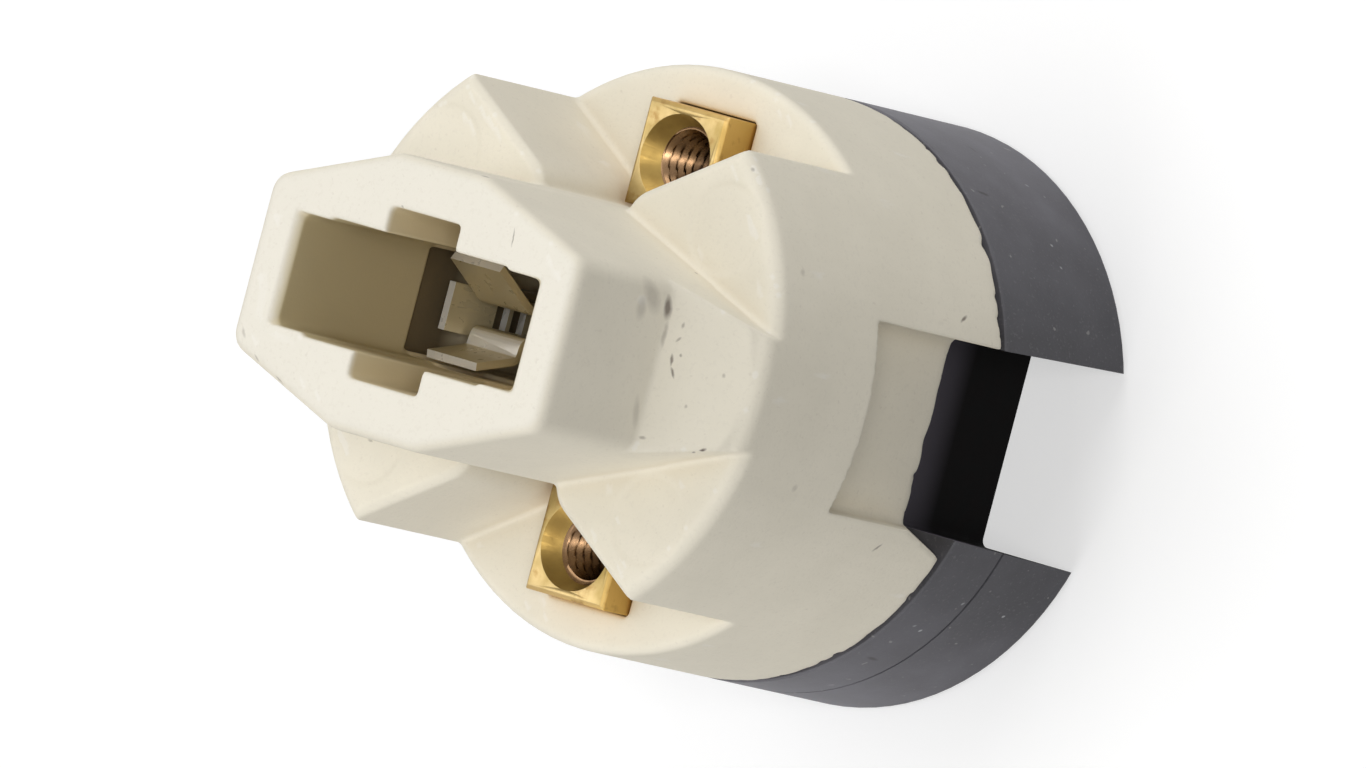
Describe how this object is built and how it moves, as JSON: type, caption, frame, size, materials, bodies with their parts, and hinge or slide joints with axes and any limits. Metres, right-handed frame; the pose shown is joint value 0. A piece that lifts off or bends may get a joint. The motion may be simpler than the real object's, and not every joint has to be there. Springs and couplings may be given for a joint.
{
  "type": "oven lamp holder",
  "caption": "Round ceramic oven lamp holder with an angular boss around a lamp well, spring contacts, brass screw blocks and a dark rear cover.",
  "frame": {"origin": "middle of the flat rear face, where the holder stands", "axes": "+Z towards the lamp, +X along the long side of the lamp well, +Y across it towards the upper threaded block"},
  "size_m": [0.029, 0.029, 0.0375],
  "materials": {
    "steatite": "matt unglazed, cream white, a little dirt at the foot of the boss",
    "dark_moulding": "matt dark grey, heat-resistant moulding",
    "brass": "sawn and tarnished",
    "nickel_plate": "bright nickel plate",
    "spring_steel": "satin",
    "zinc_steel": "zinc plated"
  },
  "bodies": {
    "root": {"ceramic_body": "steatite", "rear_cover": "dark_moulding", "contact_clip_right": "nickel_plate", "contact_clip_left": "nickel_plate", "contact_spring_right": "spring_steel", "contact_spring_left": "spring_steel", "terminal_tab_right": "nickel_plate", "terminal_tab_left": "nickel_plate", "tab_rivet_right": "zinc_steel", "tab_rivet_left": "zinc_steel", "threaded_block_upper": "brass", "threaded_block_lower": "brass", "cover_screw_upper": "zinc_steel", "cover_screw_lower": "zinc_steel", "screw_washer_upper": "zinc_steel", "screw_washer_lower": "zinc_steel"}
  },
  "joints": []
}
